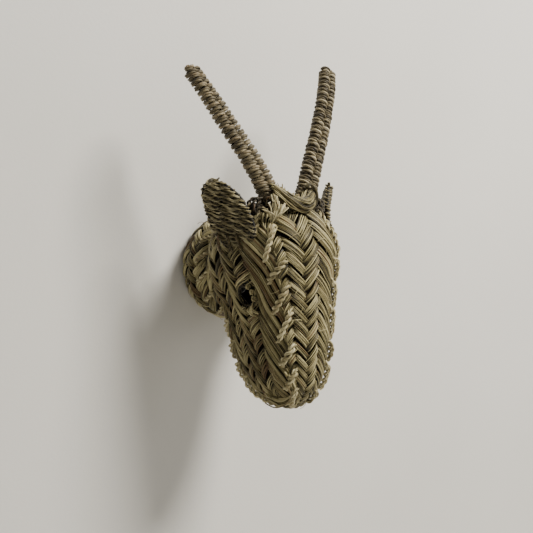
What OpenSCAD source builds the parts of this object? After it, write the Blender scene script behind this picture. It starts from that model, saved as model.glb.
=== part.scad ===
// Woven-grass goat head for a wall: five flat braids sewn along their edges into a hollow head,
// with two bound horns, two twined ears and a small ring inside the neck to hang it by.
// The wall is the plane y = 0, the head stands out towards -Y, and the nail is at the origin.

/* [Head] */
// Width between the two face seams at eye level
face_w = 84; // [78:1:90]
// How far the face seams stand out from the wall
head_reach = 170; // [162:1:178]
// Drop from the middle of the neck to the tip of the muzzle
head_drop = 145; // [138:1:152]
// Thickness of every braid
braid_t = 5; // [4:0.5:6]
// Gap between two braids, which the seam cord bridges
seam_gap = 4; // [3:0.5:6]

/* [Neck] */
// Width of the collar where it meets the wall
neck_w = 100; // [96:1:104]
// Height of the collar above the middle of the neck
neck_up = 52; // [50:1:54]
// Height of the collar below the middle of the neck
neck_down = 56; // [54:1:58]
// Length of the collar, from the wall to its seam with the head
collar_len = 46; // [42:1:47]
// How far the collar swells between its two edges
collar_swell = 6; // [3:0.5:8]

/* [Eyes] */
// Radius of each eye hole
eye_r = 8; // [7:0.5:9]
// Thickness of the cord that edges an eye hole
eye_cord_d = 3; // [2:0.5:3.5]

/* [Horns] */
// Radius of each of the two rods inside a horn, at its root
rod_r = 3; // [2.5:0.1:3.2]
// Half of a horn's wide side at its root, over the binding
horn_half_w = 9.4; // [9:0.1:10]
// Half of a horn's narrow side at its root, over the binding
horn_half_t = 7.4; // [7:0.1:8]
// Share of the thickness that is left at a horn's tip
horn_taper = 0.84; // [0.75:0.01:0.95]

/* [Ears] */
// Length of an ear along its middle
ear_len = 69; // [64:1:74]
// Greatest width of an ear
ear_w = 56; // [52:1:60]
// Thickness of an ear over its twined cords
ear_t = 11; // [9:0.5:13]
// How far the front edge curls out round the brow, at the root
ear_cup = 16; // [12:1:18]

/* [Cords] */
// Thickness of the two-ply sewing cord
cord_d = 5; // [4:0.5:6]
// Thickness of the bundle that yokes the two horns
yoke_d = 14; // [12:0.5:16]

/* [Hanging ring] */
// Radius of the ring's hole, which takes a nail or a hook
ring_r = 5; // [4.5:0.5:6]
// Thickness of the ring
ring_t = 4.4; // [4:0.2:5]

/* [Hidden] */
$fn = 48;

grass = [0.62, 0.56, 0.38];
dark_grass = [0.50, 0.45, 0.30];
pale_grass = [0.72, 0.66, 0.48];

ring_outer = ring_r + ring_t;
neck_z = ring_outer + braid_t - neck_up;
stretch = [face_w / 84, head_reach / 170, head_drop / 145];

// Seams on the head's left side, from the collar over the crown and down to the muzzle's tip.
// Heights are from the middle of the neck, and each pair of points faces the other across a cheek.
face_seam_shape = [
    [-24, -52, 50], [-36, -96, 61], [-42, -138, 54], [-42, -164, 23], [-36, -168, -14],
    [-31, -170, -50], [-27, -171, -88], [-20, -167, -120], [-7, -152, -143]
];
jaw_seam_shape = [
    [-31, -50, 43], [-45, -50, 24], [-49, -50, -4], [-42, -50, -32], [-28, -53, -50],
    [-25, -64, -82], [-24, -80, -112], [-19, -106, -136], [-6, -138, -145]
];
// Place along the jaw seams where the jaw braid starts, under the collar
throat_u = 0.52;
// Small step along or across a braid, for its slope
step = 0.01;
// Thickness of the twined cords on each face of an ear
ear_skin = 3.4;
// Radius of each rod inside an ear
rib_r = 1.5;
// Thickness of the binding on a horn's wide and narrow sides
bind_w = 2.3;
bind_t = 2.8;
// Distance from a horn's middle to the middle of each rod, at its root
rod_offset = 3.05;
// Height of a sewing cord's middle over the braids that it lies on
cord_lift = cord_d / 2 + 0.4;
// Crowning of each braid across its width, at the seams' own points
face_crown = [2, 6, 11, 13, 12, 11, 10, 9, 4];
cheek_crown = [1, 8, 14, 15, 15, 13, 11, 9, 3];
jaw_crown = [4, 4, 5, 6, 6, 9, 10, 8, 3];
horn_shapes = [
    [[-23, -136, 72], [-39, -129, 106], [-60, -117, 143], [-79, -104, 178], [-94, -88, 209]],
    [[22, -136, 73], [37, -129, 110], [58, -117, 151], [77, -104, 192], [93, -88, 226]]
];
horn_lean = [0.78, -0.1, -0.4];
yoke_shape = [[-24, -147, 75], [-12, -152, 72], [0, -153, 71], [12, -152, 72], [24, -147, 77]];
eye_place = [0.49, 0.37];
ear_root = [-56, -112, 27];
ear_tip = [-78, -111, 92];
// Way that an ear's level rows of cord run, from its back edge to its front edge
ear_across = [0.588, -0.809, 0];
// Reach of an ear in front of its middle and behind it, at equal steps from its root to its tip
ear_front = [9, 23, 35, 34, 27, 20, 14, 4];
ear_back = [9, 15, 21, 22, 22, 20, 14, 4];

function unit(v) = v / norm(v);
function flip(points) = [for (p = points) [-p[0], p[1], p[2]]];
function set_place(points) =
    [for (p = points) [p[0] * stretch[0], p[1] * stretch[1], p[2] * stretch[2] + neck_z]];
function raise(points) = [for (p = points) p + [0, 0, neck_z]];

// A smooth line through every point of a list, for t from 0 to 1
function spline(p, t) =
    let (n = len(p) - 1, x = min(max(t, 0), 1) * n, i = min(floor(x), n - 1), f = x - i,
        a = p[max(i - 1, 0)], b = p[i], c = p[i + 1], d = p[min(i + 2, n)])
    0.5 * (2 * b + (c - a) * f + (2 * a - 5 * b + 4 * c - d) * f * f + (3 * b - a - 3 * c + d) * f * f * f);

face_left = set_place(face_seam_shape);
jaw_left = set_place(jaw_seam_shape);
face_right = flip(face_left);
jaw_right = flip(jaw_left);

// A braid is [first seam, second seam, crowning]. It swells to its outside, which is the way that
// the cross product of the step to the second seam and the step towards the muzzle points.
face = [face_right, face_left, face_crown];
cheek_left = [face_left, jaw_left, cheek_crown];
jaw = [jaw_left, jaw_right, jaw_crown];
cheek_right = [jaw_right, face_right, cheek_crown];

function braid_point(braid, u, v) =
    let (a = spline(braid[0], u), b = spline(braid[1], u),
        ahead = spline(braid[0], u + step) + spline(braid[1], u + step),
        behind = spline(braid[0], u - step) + spline(braid[1], u - step),
        out = unit(cross(b - a, ahead - behind)))
    a * (1 - v) + b * v + out * spline(braid[2], u) * 4 * v * (1 - v);

function braid_normal(braid, u, v) =
    let (across = braid_point(braid, u, v + step) - braid_point(braid, u, v - step),
        ahead = braid_point(braid, min(u + step, 1), v),
        behind = braid_point(braid, max(u - step, 0), v))
    unit(cross(across, ahead - behind));

// Ellipse of the collar, taller below than above, at an angle round from the left side
function collar_point(angle, y, inset) =
    let (swell = collar_swell * sin(180 * -y / (collar_len + 6)), up = sin(angle) > 0 ? neck_up : neck_down)
    [-(neck_w / 2 + swell - inset) * cos(angle), y, (up + swell - inset) * sin(angle) + neck_z];

// Faces of a wall between an outer and an inner grid, each of nu rows by nv points.
// Seen from outside, a row runs left to right and the next row lies below it.
// looped joins the last point of each row back to the first, as on a ring.
function wall_faces(nu, nv, looped) =
    let (size = nu * nv, last = looped ? nv : nv - 1)
    concat(
        [for (i = [0 : nu - 2], j = [0 : last - 1]) let (k = (j + 1) % nv)
            [i * nv + j, i * nv + k, (i + 1) * nv + k]],
        [for (i = [0 : nu - 2], j = [0 : last - 1]) let (k = (j + 1) % nv)
            [i * nv + j, (i + 1) * nv + k, (i + 1) * nv + j]],
        [for (i = [0 : nu - 2], j = [0 : last - 1]) let (k = (j + 1) % nv)
            [size + i * nv + j, size + (i + 1) * nv + k, size + i * nv + k]],
        [for (i = [0 : nu - 2], j = [0 : last - 1]) let (k = (j + 1) % nv)
            [size + i * nv + j, size + (i + 1) * nv + j, size + (i + 1) * nv + k]],
        [for (j = [0 : last - 1]) let (k = (j + 1) % nv) [j, size + j, size + k]],
        [for (j = [0 : last - 1]) let (k = (j + 1) % nv) [j, size + k, k]],
        [for (j = [0 : last - 1]) let (k = (j + 1) % nv, e = size - nv) [e + j, e + k, e + size + k]],
        [for (j = [0 : last - 1]) let (k = (j + 1) % nv, e = size - nv) [e + j, e + size + k, e + size + j]],
        looped ? [] : [for (i = [0 : nu - 2]) [i * nv, (i + 1) * nv, size + (i + 1) * nv]],
        looped ? [] : [for (i = [0 : nu - 2]) [i * nv, size + (i + 1) * nv, size + i * nv]],
        looped ? [] : [for (i = [0 : nu - 2]) let (e = i * nv + nv - 1) [e, size + e, size + e + nv]],
        looped ? [] : [for (i = [0 : nu - 2]) let (e = i * nv + nv - 1) [e, size + e + nv, e + nv]]
    );

// The same grid with its rows in the other order
function turned(grid) = [for (i = [len(grid) - 1 : -1 : 0]) grid[i]];

module wall(outer, inner, looped) {
    polyhedron(concat([for (row = outer) each row], [for (row = inner) each row]),
        wall_faces(len(outer), len(outer[0]), looped), convexity = 6);
}

// One braid of the head, from u = start to its end, set in from both seams
module braid_wall(braid, start = 0.02) {
    steps = 26;
    across = 9;
    spots = [for (i = [0 : steps]) let (u = start + (0.99 - start) * i / steps,
        edge = min(seam_gap / 2 / norm(spline(braid[1], u) - spline(braid[0], u)), 0.3))
        [for (j = [0 : across]) [u, edge + (1 - 2 * edge) * j / across]]];
    outer = [for (row = spots) [for (s = row) braid_point(braid, s[0], s[1])]];
    inner = [for (row = spots) [for (s = row)
        braid_point(braid, s[0], s[1]) - braid_t * braid_normal(braid, s[0], s[1])]];
    wall(turned(outer), turned(inner), false);
}

// Direction of a line of points at one of them
function heading(points, i) = unit(points[min(i + 1, len(points) - 1)] - points[max(i - 1, 0)]);

// The direction nearest to lean that is square to the direction t
function square_to(lean, t) = unit(lean - (lean * t) * t);

// Sections of a round or oval bar along a line of points. lean sets which way half_a points.
function oval_rings(points, half_a, half_b, sides, lean, taper = 1) =
    [for (i = [0 : len(points) - 1])
        let (t = heading(points, i), s = square_to(lean, t), n = cross(t, s),
            k = 1 + (taper - 1) * i / (len(points) - 1))
        [for (j = [0 : sides - 1]) let (a = 360 * j / sides)
            points[i] + k * (half_a * cos(a) * s + half_b * sin(a) * n)]];

module bar(points, half_a, half_b, sides, lean, taper = 1) {
    rings = oval_rings(points, half_a, half_b, sides, lean, taper);
    n = len(points);
    polyhedron([for (ring = rings) each ring], concat(
        [for (i = [0 : n - 2], j = [0 : sides - 1]) let (k = (j + 1) % sides)
            [i * sides + j, (i + 1) * sides + k, i * sides + k]],
        [for (i = [0 : n - 2], j = [0 : sides - 1]) let (k = (j + 1) % sides)
            [i * sides + j, (i + 1) * sides + j, (i + 1) * sides + k]],
        [[for (j = [0 : sides - 1]) j]],
        [[for (j = [sides - 1 : -1 : 0]) (n - 1) * sides + j]]), convexity = 4);
}

module cord(points) {
    bar(points, cord_d / 2, cord_d / 2, 8, [0.3, 0.5, 0.81]);
}

// Points along a smooth line
function along_line(p, steps) = [for (i = [0 : steps]) spline(p, i / steps)];

// Turns +Z onto the direction n at the point p
module facing(p, n) {
    translate(p) rotate([0, acos(n[2]), atan2(n[1], n[0])]) children();
}

// The collar: one braid bent into a ring, flat against the wall
module neck_collar() {
    steps = 8;
    round_steps = 48;
    outer = [for (i = [0 : steps]) [for (j = [0 : round_steps - 1])
        collar_point(360 * j / round_steps, -collar_len * i / steps, 0)]];
    inner = [for (i = [0 : steps]) [for (j = [0 : round_steps - 1])
        collar_point(360 * j / round_steps, -collar_len * i / steps, braid_t)]];
    color(grass) wall(outer, inner, true);
}

module face_braid() {
    color(grass) braid_wall(face);
}

// A cheek braid with its eye hole cut through
module cheek_braid(braid, eye) {
    p = braid_point(braid, eye[0], eye[1]);
    n = braid_normal(braid, eye[0], eye[1]);
    color(grass) difference() {
        braid_wall(braid);
        facing(p - 3 * braid_t * n, n) cylinder(r = eye_r, h = 6 * braid_t);
    }
}

// The cord sewn round an eye hole, lying on the cheek
module eye_rim(braid, eye) {
    p = braid_point(braid, eye[0], eye[1]);
    n = braid_normal(braid, eye[0], eye[1]);
    color(dark_grass) facing(p + (eye_cord_d / 2 + 0.4) * n, n) rotate_extrude()
        translate([eye_r + eye_cord_d / 2, 0]) circle(d = eye_cord_d, $fn = 24);
}

module jaw_braid() {
    color(dark_grass) braid_wall(jaw, throat_u);
}

// The bundle that closes the muzzle where the four braids end
module muzzle_gather() {
    line = set_place([
        [-12, -143, -142], [-6, -144, -145], [0, -144, -146], [6, -144, -145], [12, -143, -142]
    ]);
    color(grass) bar(along_line(line, 10), 7, 3, 12, [0, 1, 0]);
}

// One stitch over a seam between two braids that meet at v = 1 of the first and v = 0 of the second
module stitch(first, second, u, slant, reach) {
    a = braid_point(first, u - slant, 1 - reach);
    b = spline(second[0], u);
    c = braid_point(second, u + slant, reach);
    na = braid_normal(first, u - slant, 1 - reach);
    nc = braid_normal(second, u + slant, reach);
    cord(along_line([a + cord_lift * na, b + (cord_lift + 1) * unit(na + nc), c + cord_lift * nc], 6));
}

// A row of stitches, count of them from u = start to u = end
module seam(first, second, count, start, end, slant = 0.026, reach = 0.11) {
    color(pale_grass) for (i = [0 : count - 1])
        stitch(first, second, start + (end - start) * i / (count - 1), slant, reach);
}

// Stitches from the collar to the edges of the four braids, round the whole neck
module collar_seam() {
    count = 16;
    middle_y = -(collar_len + 3);
    color(pale_grass) for (i = [0 : count - 1]) let (angle = 360 * (i + 0.5) / count) {
        a = collar_point(angle - 4, middle_y + 8, -cord_lift);
        b = collar_point(angle, middle_y, -cord_lift - 2);
        c = collar_point(angle + 4, middle_y - 6, -cord_lift - 3);
        cord(along_line([a, b, c], 6));
    }
}

// Directions of an ear: along its rows, up to its tip, and out of its face
function ear_axes() =
    let (across = unit(ear_across), up = unit(ear_tip - ear_root))
    [across, up, unit(cross(across, up))];

// Width of an ear on one side of its middle, at a share t of its length
function ear_side(t, front) = ear_w / 56 * spline(front ? ear_front : ear_back, t);

// A point of an ear: a share t of its length up, s along its rows to the front, h out of its face
function ear_point(axes, s, t, h) =
    let (curl = ear_cup * pow(max(s, 0) / 30, 2) * pow(1 - t, 2))
    ear_root + [0, 0, neck_z] + t * ear_len * axes[1] + s * axes[0] + (h + curl) * axes[2];

// Oval slices of an ear between two shares of its length, set in from its surface
function ear_slices(inset, first, last, steps, sides) =
    let (axes = ear_axes())
    [for (i = [0 : steps]) let (t = first + (last - first) * i / steps,
        h = (ear_t / 2 - inset) * (1 - 0.45 * pow(t, 4)))
        [for (j = [0 : sides - 1]) let (c = cos(360 * j / sides), w = ear_side(t, c > 0) - inset)
            ear_point(axes, w * c, t, h * sin(360 * j / sides))]];

module ear_body(inset, first, last, steps = 16, sides = 20) {
    slices = ear_slices(inset, first, last, steps, sides);
    polyhedron([for (ring = slices) each ring], concat(
        [for (i = [0 : steps - 1], j = [0 : sides - 1]) let (k = (j + 1) % sides)
            [i * sides + j, i * sides + k, (i + 1) * sides + k]],
        [for (i = [0 : steps - 1], j = [0 : sides - 1]) let (k = (j + 1) % sides)
            [i * sides + j, (i + 1) * sides + k, (i + 1) * sides + j]],
        [for (j = [1 : sides - 2]) [0, j + 1, j]],
        [for (j = [1 : sides - 2]) let (e = steps * sides) [e, e + j, e + j + 1]]), convexity = 4);
}

// The rods inside an ear, spread like a fan from its root
module ear_ribs() {
    axes = ear_axes();
    count = 5;
    color(dark_grass) for (i = [0 : count - 1]) let (share = 2 * i / (count - 1) - 1) {
        line = [for (t = [0.02 : 0.07 : 0.79])
            ear_point(axes, share * (ear_side(t, share > 0) - ear_skin - rib_r - 0.5), t, 0)];
        bar(line, rib_r, rib_r, 8, axes[2]);
    }
}

// The twined cords of an ear, drawn as one skin round its ribs
module ear_weft() {
    color(dark_grass) difference() {
        ear_body(0, 0, 1);
        ear_body(ear_skin, -0.04, 0.84);
    }
}

// Cords that tie an ear's root down to the head
module ear_ties() {
    axes = ear_axes();
    over = ear_t / 2 + cord_lift;
    color(pale_grass) for (s = [-11, 0, 11])
        cord(along_line([ear_point(axes, s, 0.1, over), ear_point(axes, 1.1 * s, -0.02, over + 0.4),
            ear_point(axes, 1.2 * s, -0.12, over - 2)], 5));
}

// The two grass rods inside a horn, side by side
module horn_rods(shape) {
    line = along_line(raise(shape), 18);
    color(dark_grass) for (side = [-1, 1]) {
        shifted = [for (i = [0 : len(line) - 1])
            let (k = 1 + (horn_taper - 1) * i / (len(line) - 1))
            line[i] + side * rod_offset * k * square_to(horn_lean, heading(line, i))];
        bar(shifted, rod_r, rod_r, 10, horn_lean, horn_taper);
    }
}

// The cord binding of a horn, drawn as one skin round its two rods, which show at the tip
module horn_binding(shape) {
    line = along_line(raise(shape), 20);
    used = [for (i = [0 : 19]) line[i]];
    outer = oval_rings(used, horn_half_w, horn_half_t, 20, horn_lean, horn_taper);
    inner = oval_rings(used, horn_half_w - bind_w, horn_half_t - bind_t, 20, horn_lean, horn_taper);
    color(grass) wall(turned(outer), turned(inner), true);
}

// Two turns of cord that lash a horn's root
module horn_lashing(shape) {
    line = raise(shape);
    t = unit(line[1] - line[0]);
    color(dark_grass) for (turn = [0, 1])
        facing(line[0] + (5 + 4.6 * turn) * t, t) rotate_extrude()
            translate([horn_half_w + cord_d / 2 + 0.3, 0]) circle(d = cord_d, $fn = 24);
}

// The loose-bound bundle that lies across the crown in front of the horns
module horn_yoke() {
    color(grass) bar(along_line(raise(yoke_shape), 14), yoke_d / 2, yoke_d / 2 - 1, 14, [0, 0.6, 0.8]);
}

// A short tuft of cut bundle ends at the top of the left face seam
module forelock() {
    line = raise([[-38, -141, 66], [-35, -149, 66], [-30, -158, 62]]);
    color(pale_grass) bar(along_line(line, 4), 5, 3, 10, [1, 0, 0], 1.4);
}

// The ring that hangs on a nail, flat against the wall inside the collar's top
module hanging_ring() {
    color(pale_grass) rotate([90, 0, 0]) rotate_extrude()
        translate([ring_r, 0]) square([ring_t, ring_t]);
}

// Two short cords that hold the ring up to the inside of the collar
module ring_ties() {
    top = ring_outer + collar_swell * sin(180 * 11 / (collar_len + 6));
    color(dark_grass) for (side = [-4.5, 4.5])
        bar([[side, -ring_t - 1, 4.6], [side, -ring_t - 1.8, 8.4], [side, -11, top - 2]], 1, 1, 8, [1, 0, 0]);
}

neck_collar();
face_braid();
cheek_braid(cheek_left, eye_place);  // left_cheek_braid
cheek_braid(cheek_right, [eye_place[0], 1 - eye_place[1]]);  // right_cheek_braid
jaw_braid();
muzzle_gather();
seam(face, cheek_left, 8, 0.26, 0.94);  // left_face_seam
seam(cheek_right, face, 8, 0.26, 0.94);  // right_face_seam
seam(cheek_left, jaw, 5, 0.58, 0.93);  // left_jaw_seam
seam(jaw, cheek_right, 5, 0.58, 0.93);  // right_jaw_seam
collar_seam();
eye_rim(cheek_left, eye_place);  // left_eye_rim
eye_rim(cheek_right, [eye_place[0], 1 - eye_place[1]]);  // right_eye_rim
ear_ribs();  // left_ear_ribs
mirror([1, 0, 0]) ear_ribs();  // right_ear_ribs
ear_weft();  // left_ear_weft
mirror([1, 0, 0]) ear_weft();  // right_ear_weft
ear_ties();  // left_ear_ties
mirror([1, 0, 0]) ear_ties();  // right_ear_ties
horn_rods(horn_shapes[0]);  // left_horn_rods
horn_rods(horn_shapes[1]);  // right_horn_rods
horn_binding(horn_shapes[0]);  // left_horn_binding
horn_binding(horn_shapes[1]);  // right_horn_binding
horn_lashing(horn_shapes[0]);  // left_horn_lashing
horn_lashing(horn_shapes[1]);  // right_horn_lashing
horn_yoke();
forelock();
hanging_ring();
ring_ties();
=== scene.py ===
# Goat head plaited from grass, hanging on a wall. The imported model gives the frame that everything
# sits in. Lengths are in millimetres until a mesh is made, and those of the room are in metres.
import bpy, bmesh, math
import numpy as np
from mathutils import Matrix, Vector


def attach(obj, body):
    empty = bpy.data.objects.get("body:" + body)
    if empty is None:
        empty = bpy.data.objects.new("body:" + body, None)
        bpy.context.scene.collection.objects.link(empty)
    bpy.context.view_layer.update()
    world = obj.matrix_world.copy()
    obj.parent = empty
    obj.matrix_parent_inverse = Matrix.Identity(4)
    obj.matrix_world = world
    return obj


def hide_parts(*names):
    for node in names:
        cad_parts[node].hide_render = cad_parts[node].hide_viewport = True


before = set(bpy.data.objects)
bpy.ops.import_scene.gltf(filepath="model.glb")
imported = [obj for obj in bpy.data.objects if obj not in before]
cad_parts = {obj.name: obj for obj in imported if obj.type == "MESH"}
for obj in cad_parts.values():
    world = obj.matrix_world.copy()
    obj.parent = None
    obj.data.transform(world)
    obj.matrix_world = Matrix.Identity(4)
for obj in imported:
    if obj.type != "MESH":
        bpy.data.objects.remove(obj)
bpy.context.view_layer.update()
chance = np.random.default_rng(11)
uniform = chance.uniform
mm = 0.001

# The lines that the head is sewn along, from the collar over the crown to the muzzle
head = {
    "neckHeight": -37.6,
    "faceSeam": [(-24, -52, 50), (-36, -96, 61), (-42, -138, 54), (-42, -164, 23), (-36, -168, -14),
                 (-31, -170, -50), (-27, -171, -88), (-20, -167, -120), (-7, -152, -143)],
    "jawSeam": [(-31, -50, 43), (-45, -50, 24), (-49, -50, -4), (-42, -50, -32), (-28, -53, -50),
                (-25, -64, -82), (-24, -80, -112), (-19, -106, -136), (-6, -138, -145)],
    "faceCrown": [2, 6, 11, 13, 12, 11, 10, 9, 4],
    "cheekCrown": [1, 8, 14, 15, 15, 13, 11, 9, 3],
    "jawCrown": [4, 4, 5, 6, 6, 9, 10, 8, 3],
    "eyePlace": (0.49, 0.37),      # along and across a cheek
    "eyeRadius": 8.3,
    "eyeGap": 2.2,                 # between the eye and the blades round it
    "eyeCoreGap": 5.0,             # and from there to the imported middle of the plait
    "eyeReach": 32,                # how far from the eye blades are still pushed aside
    "eyeDeep": 25,
    "eyeCut": 3,                   # blades that would pass this near to its middle are cut
}


def unit(v):
    return v / np.maximum(np.linalg.norm(v, axis=-1, keepdims=True), 1e-9)


def raised(points):
    return np.array(points, float) + (0, 0, head["neckHeight"])


def mirrored(points):
    return np.array(points, float) * (-1, 1, 1)


# A smooth line through every point, for t from 0 to 1
def smoothLine(points, t):
    p = np.asarray(points, float)
    n = len(p) - 1
    x = np.clip(np.asarray(t, float), 0, 1) * n
    i = np.minimum(np.floor(x).astype(int), n - 1)
    f = (x - i).reshape(x.shape + (1,) * (p.ndim - 1))
    a, b, c, d = p[np.maximum(i - 1, 0)], p[i], p[i + 1], p[np.minimum(i + 2, n)]
    return 0.5 * (2 * b + (c - a) * f + (2 * a - 5 * b + 4 * c - d) * f ** 2
                  + (3 * b - a - 3 * c + d) * f ** 3)


# The same line as points an equal distance apart
def evenLine(points, gap, smooth=True):
    line = smoothLine(points, np.linspace(0, 1, 40 * len(points))) if smooth else np.asarray(points, float)
    run = np.r_[0, np.cumsum(np.linalg.norm(np.diff(line, axis=0), axis=1))]
    at = np.linspace(0, run[-1], max(int(run[-1] / gap), 2) + 1)
    return np.stack([np.interp(at, run, line[:, k]) for k in range(3)], axis=1)


def drift(s, reach):
    a, b = uniform(0, 2 * math.pi, 2)
    return 0.6 * np.sin(2 * math.pi * s / reach + a) + 0.4 * np.sin(2 * math.pi * s / (0.43 * reach) + b)


faceLeft, jawLeft = raised(head["faceSeam"]), raised(head["jawSeam"])
faceRight, jawRight = mirrored(faceLeft), mirrored(jawLeft)


def pair(u, v):
    return np.broadcast_arrays(np.asarray(u, float), np.asarray(v, float))


# A surface between two seams that swells to its outside. It gives a place for u along and v across.
def bandSurface(first, second, crown):
    def place(u, v):
        u, v = pair(u, v)
        a, b = smoothLine(first, u), smoothLine(second, u)
        ahead = smoothLine(first, u + 0.01) + smoothLine(second, u + 0.01)
        behind = smoothLine(first, u - 0.01) + smoothLine(second, u - 0.01)
        out = unit(np.cross(b - a, ahead - behind))
        rise = (smoothLine(crown, u) * 4 * v * (1 - v))[..., None]
        return a * (1 - v[..., None]) + b * v[..., None] + out * rise
    return place


collarShape = {"wide": 100, "up": 52, "down": 56, "long": 46, "swell": 6}


# The collar: u goes round from the left side over the top, v from the wall to the head
def collarSurface(u, v):
    u, v = pair(u, v)
    c, angle, y = collarShape, 2 * math.pi * u, -collarShape["long"] * v
    swell = c["swell"] * np.sin(math.pi * -y / (c["long"] + 6))
    tall = np.where(np.sin(angle) > 0, c["up"], c["down"])
    return np.stack([-(c["wide"] / 2 + swell) * np.cos(angle), y,
                     (tall + swell) * np.sin(angle) + head["neckHeight"]], axis=-1)


# The point at a height over a surface, and the way out of it there
def spotOn(surface, u, v, height, closed=False):
    u, v = pair(u, v)
    e = 0.008
    across = surface(u, v + e) - surface(u, v - e)
    along = (surface(u + e, v) - surface(u - e, v)) if closed else (
        surface(np.minimum(u + e, 1), v) - surface(np.maximum(u - e, 0), v))
    out = unit(np.cross(across, along))
    return surface(u, v) + np.asarray(height, float)[..., None] * out, out


faceSurface = bandSurface(faceRight, faceLeft, head["faceCrown"])
leftCheekSurface = bandSurface(faceLeft, jawLeft, head["cheekCrown"])
rightCheekSurface = bandSurface(jawRight, faceRight, head["cheekCrown"])
jawSurface = bandSurface(jawLeft, jawRight, head["jawCrown"])


# Materials
def addNode(tree, kind, place, **values):
    made = tree.nodes.new("ShaderNode" + kind)
    made.location = place
    for name, value in values.items():
        setattr(made, name, value)
    return made


grassColours = {
    "plait": {"shades": [(0.005, 0.004, 0.0015), (0.036, 0.028, 0.0095),
                         (0.140, 0.116, 0.046), (0.46, 0.405, 0.215)],
              "rust": (0.15, 0.07, 0.03), "rustShare": 0.32, "rough": 0.45, "sheen": 0.06},
    "shadedPlait": {"shades": [(0.004, 0.003, 0.001), (0.03, 0.023, 0.008),
                               (0.115, 0.094, 0.038), (0.38, 0.335, 0.18)],
                    "rust": (0.13, 0.06, 0.025), "rustShare": 0.32, "rough": 0.55, "sheen": 0.06},
    "sewing": {"shades": [(0.008, 0.006, 0.003), (0.068, 0.052, 0.021),
                          (0.225, 0.188, 0.09), (0.60, 0.54, 0.33)],
               "rust": (0.19, 0.10, 0.045), "rustShare": 0.2, "rough": 0.48, "sheen": 0.08},
    "horn": {"shades": [(0.007, 0.005, 0.003), (0.056, 0.043, 0.021),
                        (0.195, 0.16, 0.09), (0.56, 0.495, 0.33)],
             "rust": (0.19, 0.105, 0.055), "rustShare": 0.28, "rough": 0.48, "sheen": 0.08},
    "ear": {"shades": [(0.004, 0.003, 0.002), (0.048, 0.038, 0.016),
                       (0.225, 0.188, 0.096), (0.72, 0.65, 0.42)],
            "rust": (0.15, 0.08, 0.04), "rustShare": 0.25, "rough": 0.5, "sheen": 0.08},
    "rod": {"shades": [(0.007, 0.005, 0.003), (0.058, 0.044, 0.021),
                       (0.19, 0.153, 0.082), (0.54, 0.47, 0.30)],
            "rust": (0.17, 0.09, 0.045), "rustShare": 0.4, "rough": 0.56, "sheen": 0.06},
    # Near black with hardly any shine: painted shade for the gaps between bundles
    "gapShade": {"shades": [(0.006, 0.0045, 0.002), (0.018, 0.014, 0.006),
                          (0.03, 0.024, 0.01), (0.05, 0.04, 0.018)],
               "rust": (0.02, 0.012, 0.006), "rustShare": 0.1, "rough": 0.85, "sheen": 0, "shine": 0.02},
}


# What each kind of mark adds to a blade's tone, and how fine it is
grassMarks = {
    "fibres": 0.42, "fibreScale": (90, 2600, 1), "patches": 0.55, "patchScale": 34,
    # The depth share paints shade where a blade lies low or dives under another, and light where it lies
    # high
    "specks": 0.22, "speckScale": 420, "depthShade": 0.22, "darker": 0.6,
    "relief": 0.5, "bump": 0.45, "bumpDistance": 0.0003, "shine": 0.28, "stops": (0, 0.3, 0.6, 1),
}


def addNoise(tree, place, scale, detail=2):
    made = addNode(tree, "TexNoise", place)
    made.inputs["Scale"].default_value = scale
    made.inputs["Detail"].default_value = detail
    return made


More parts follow.
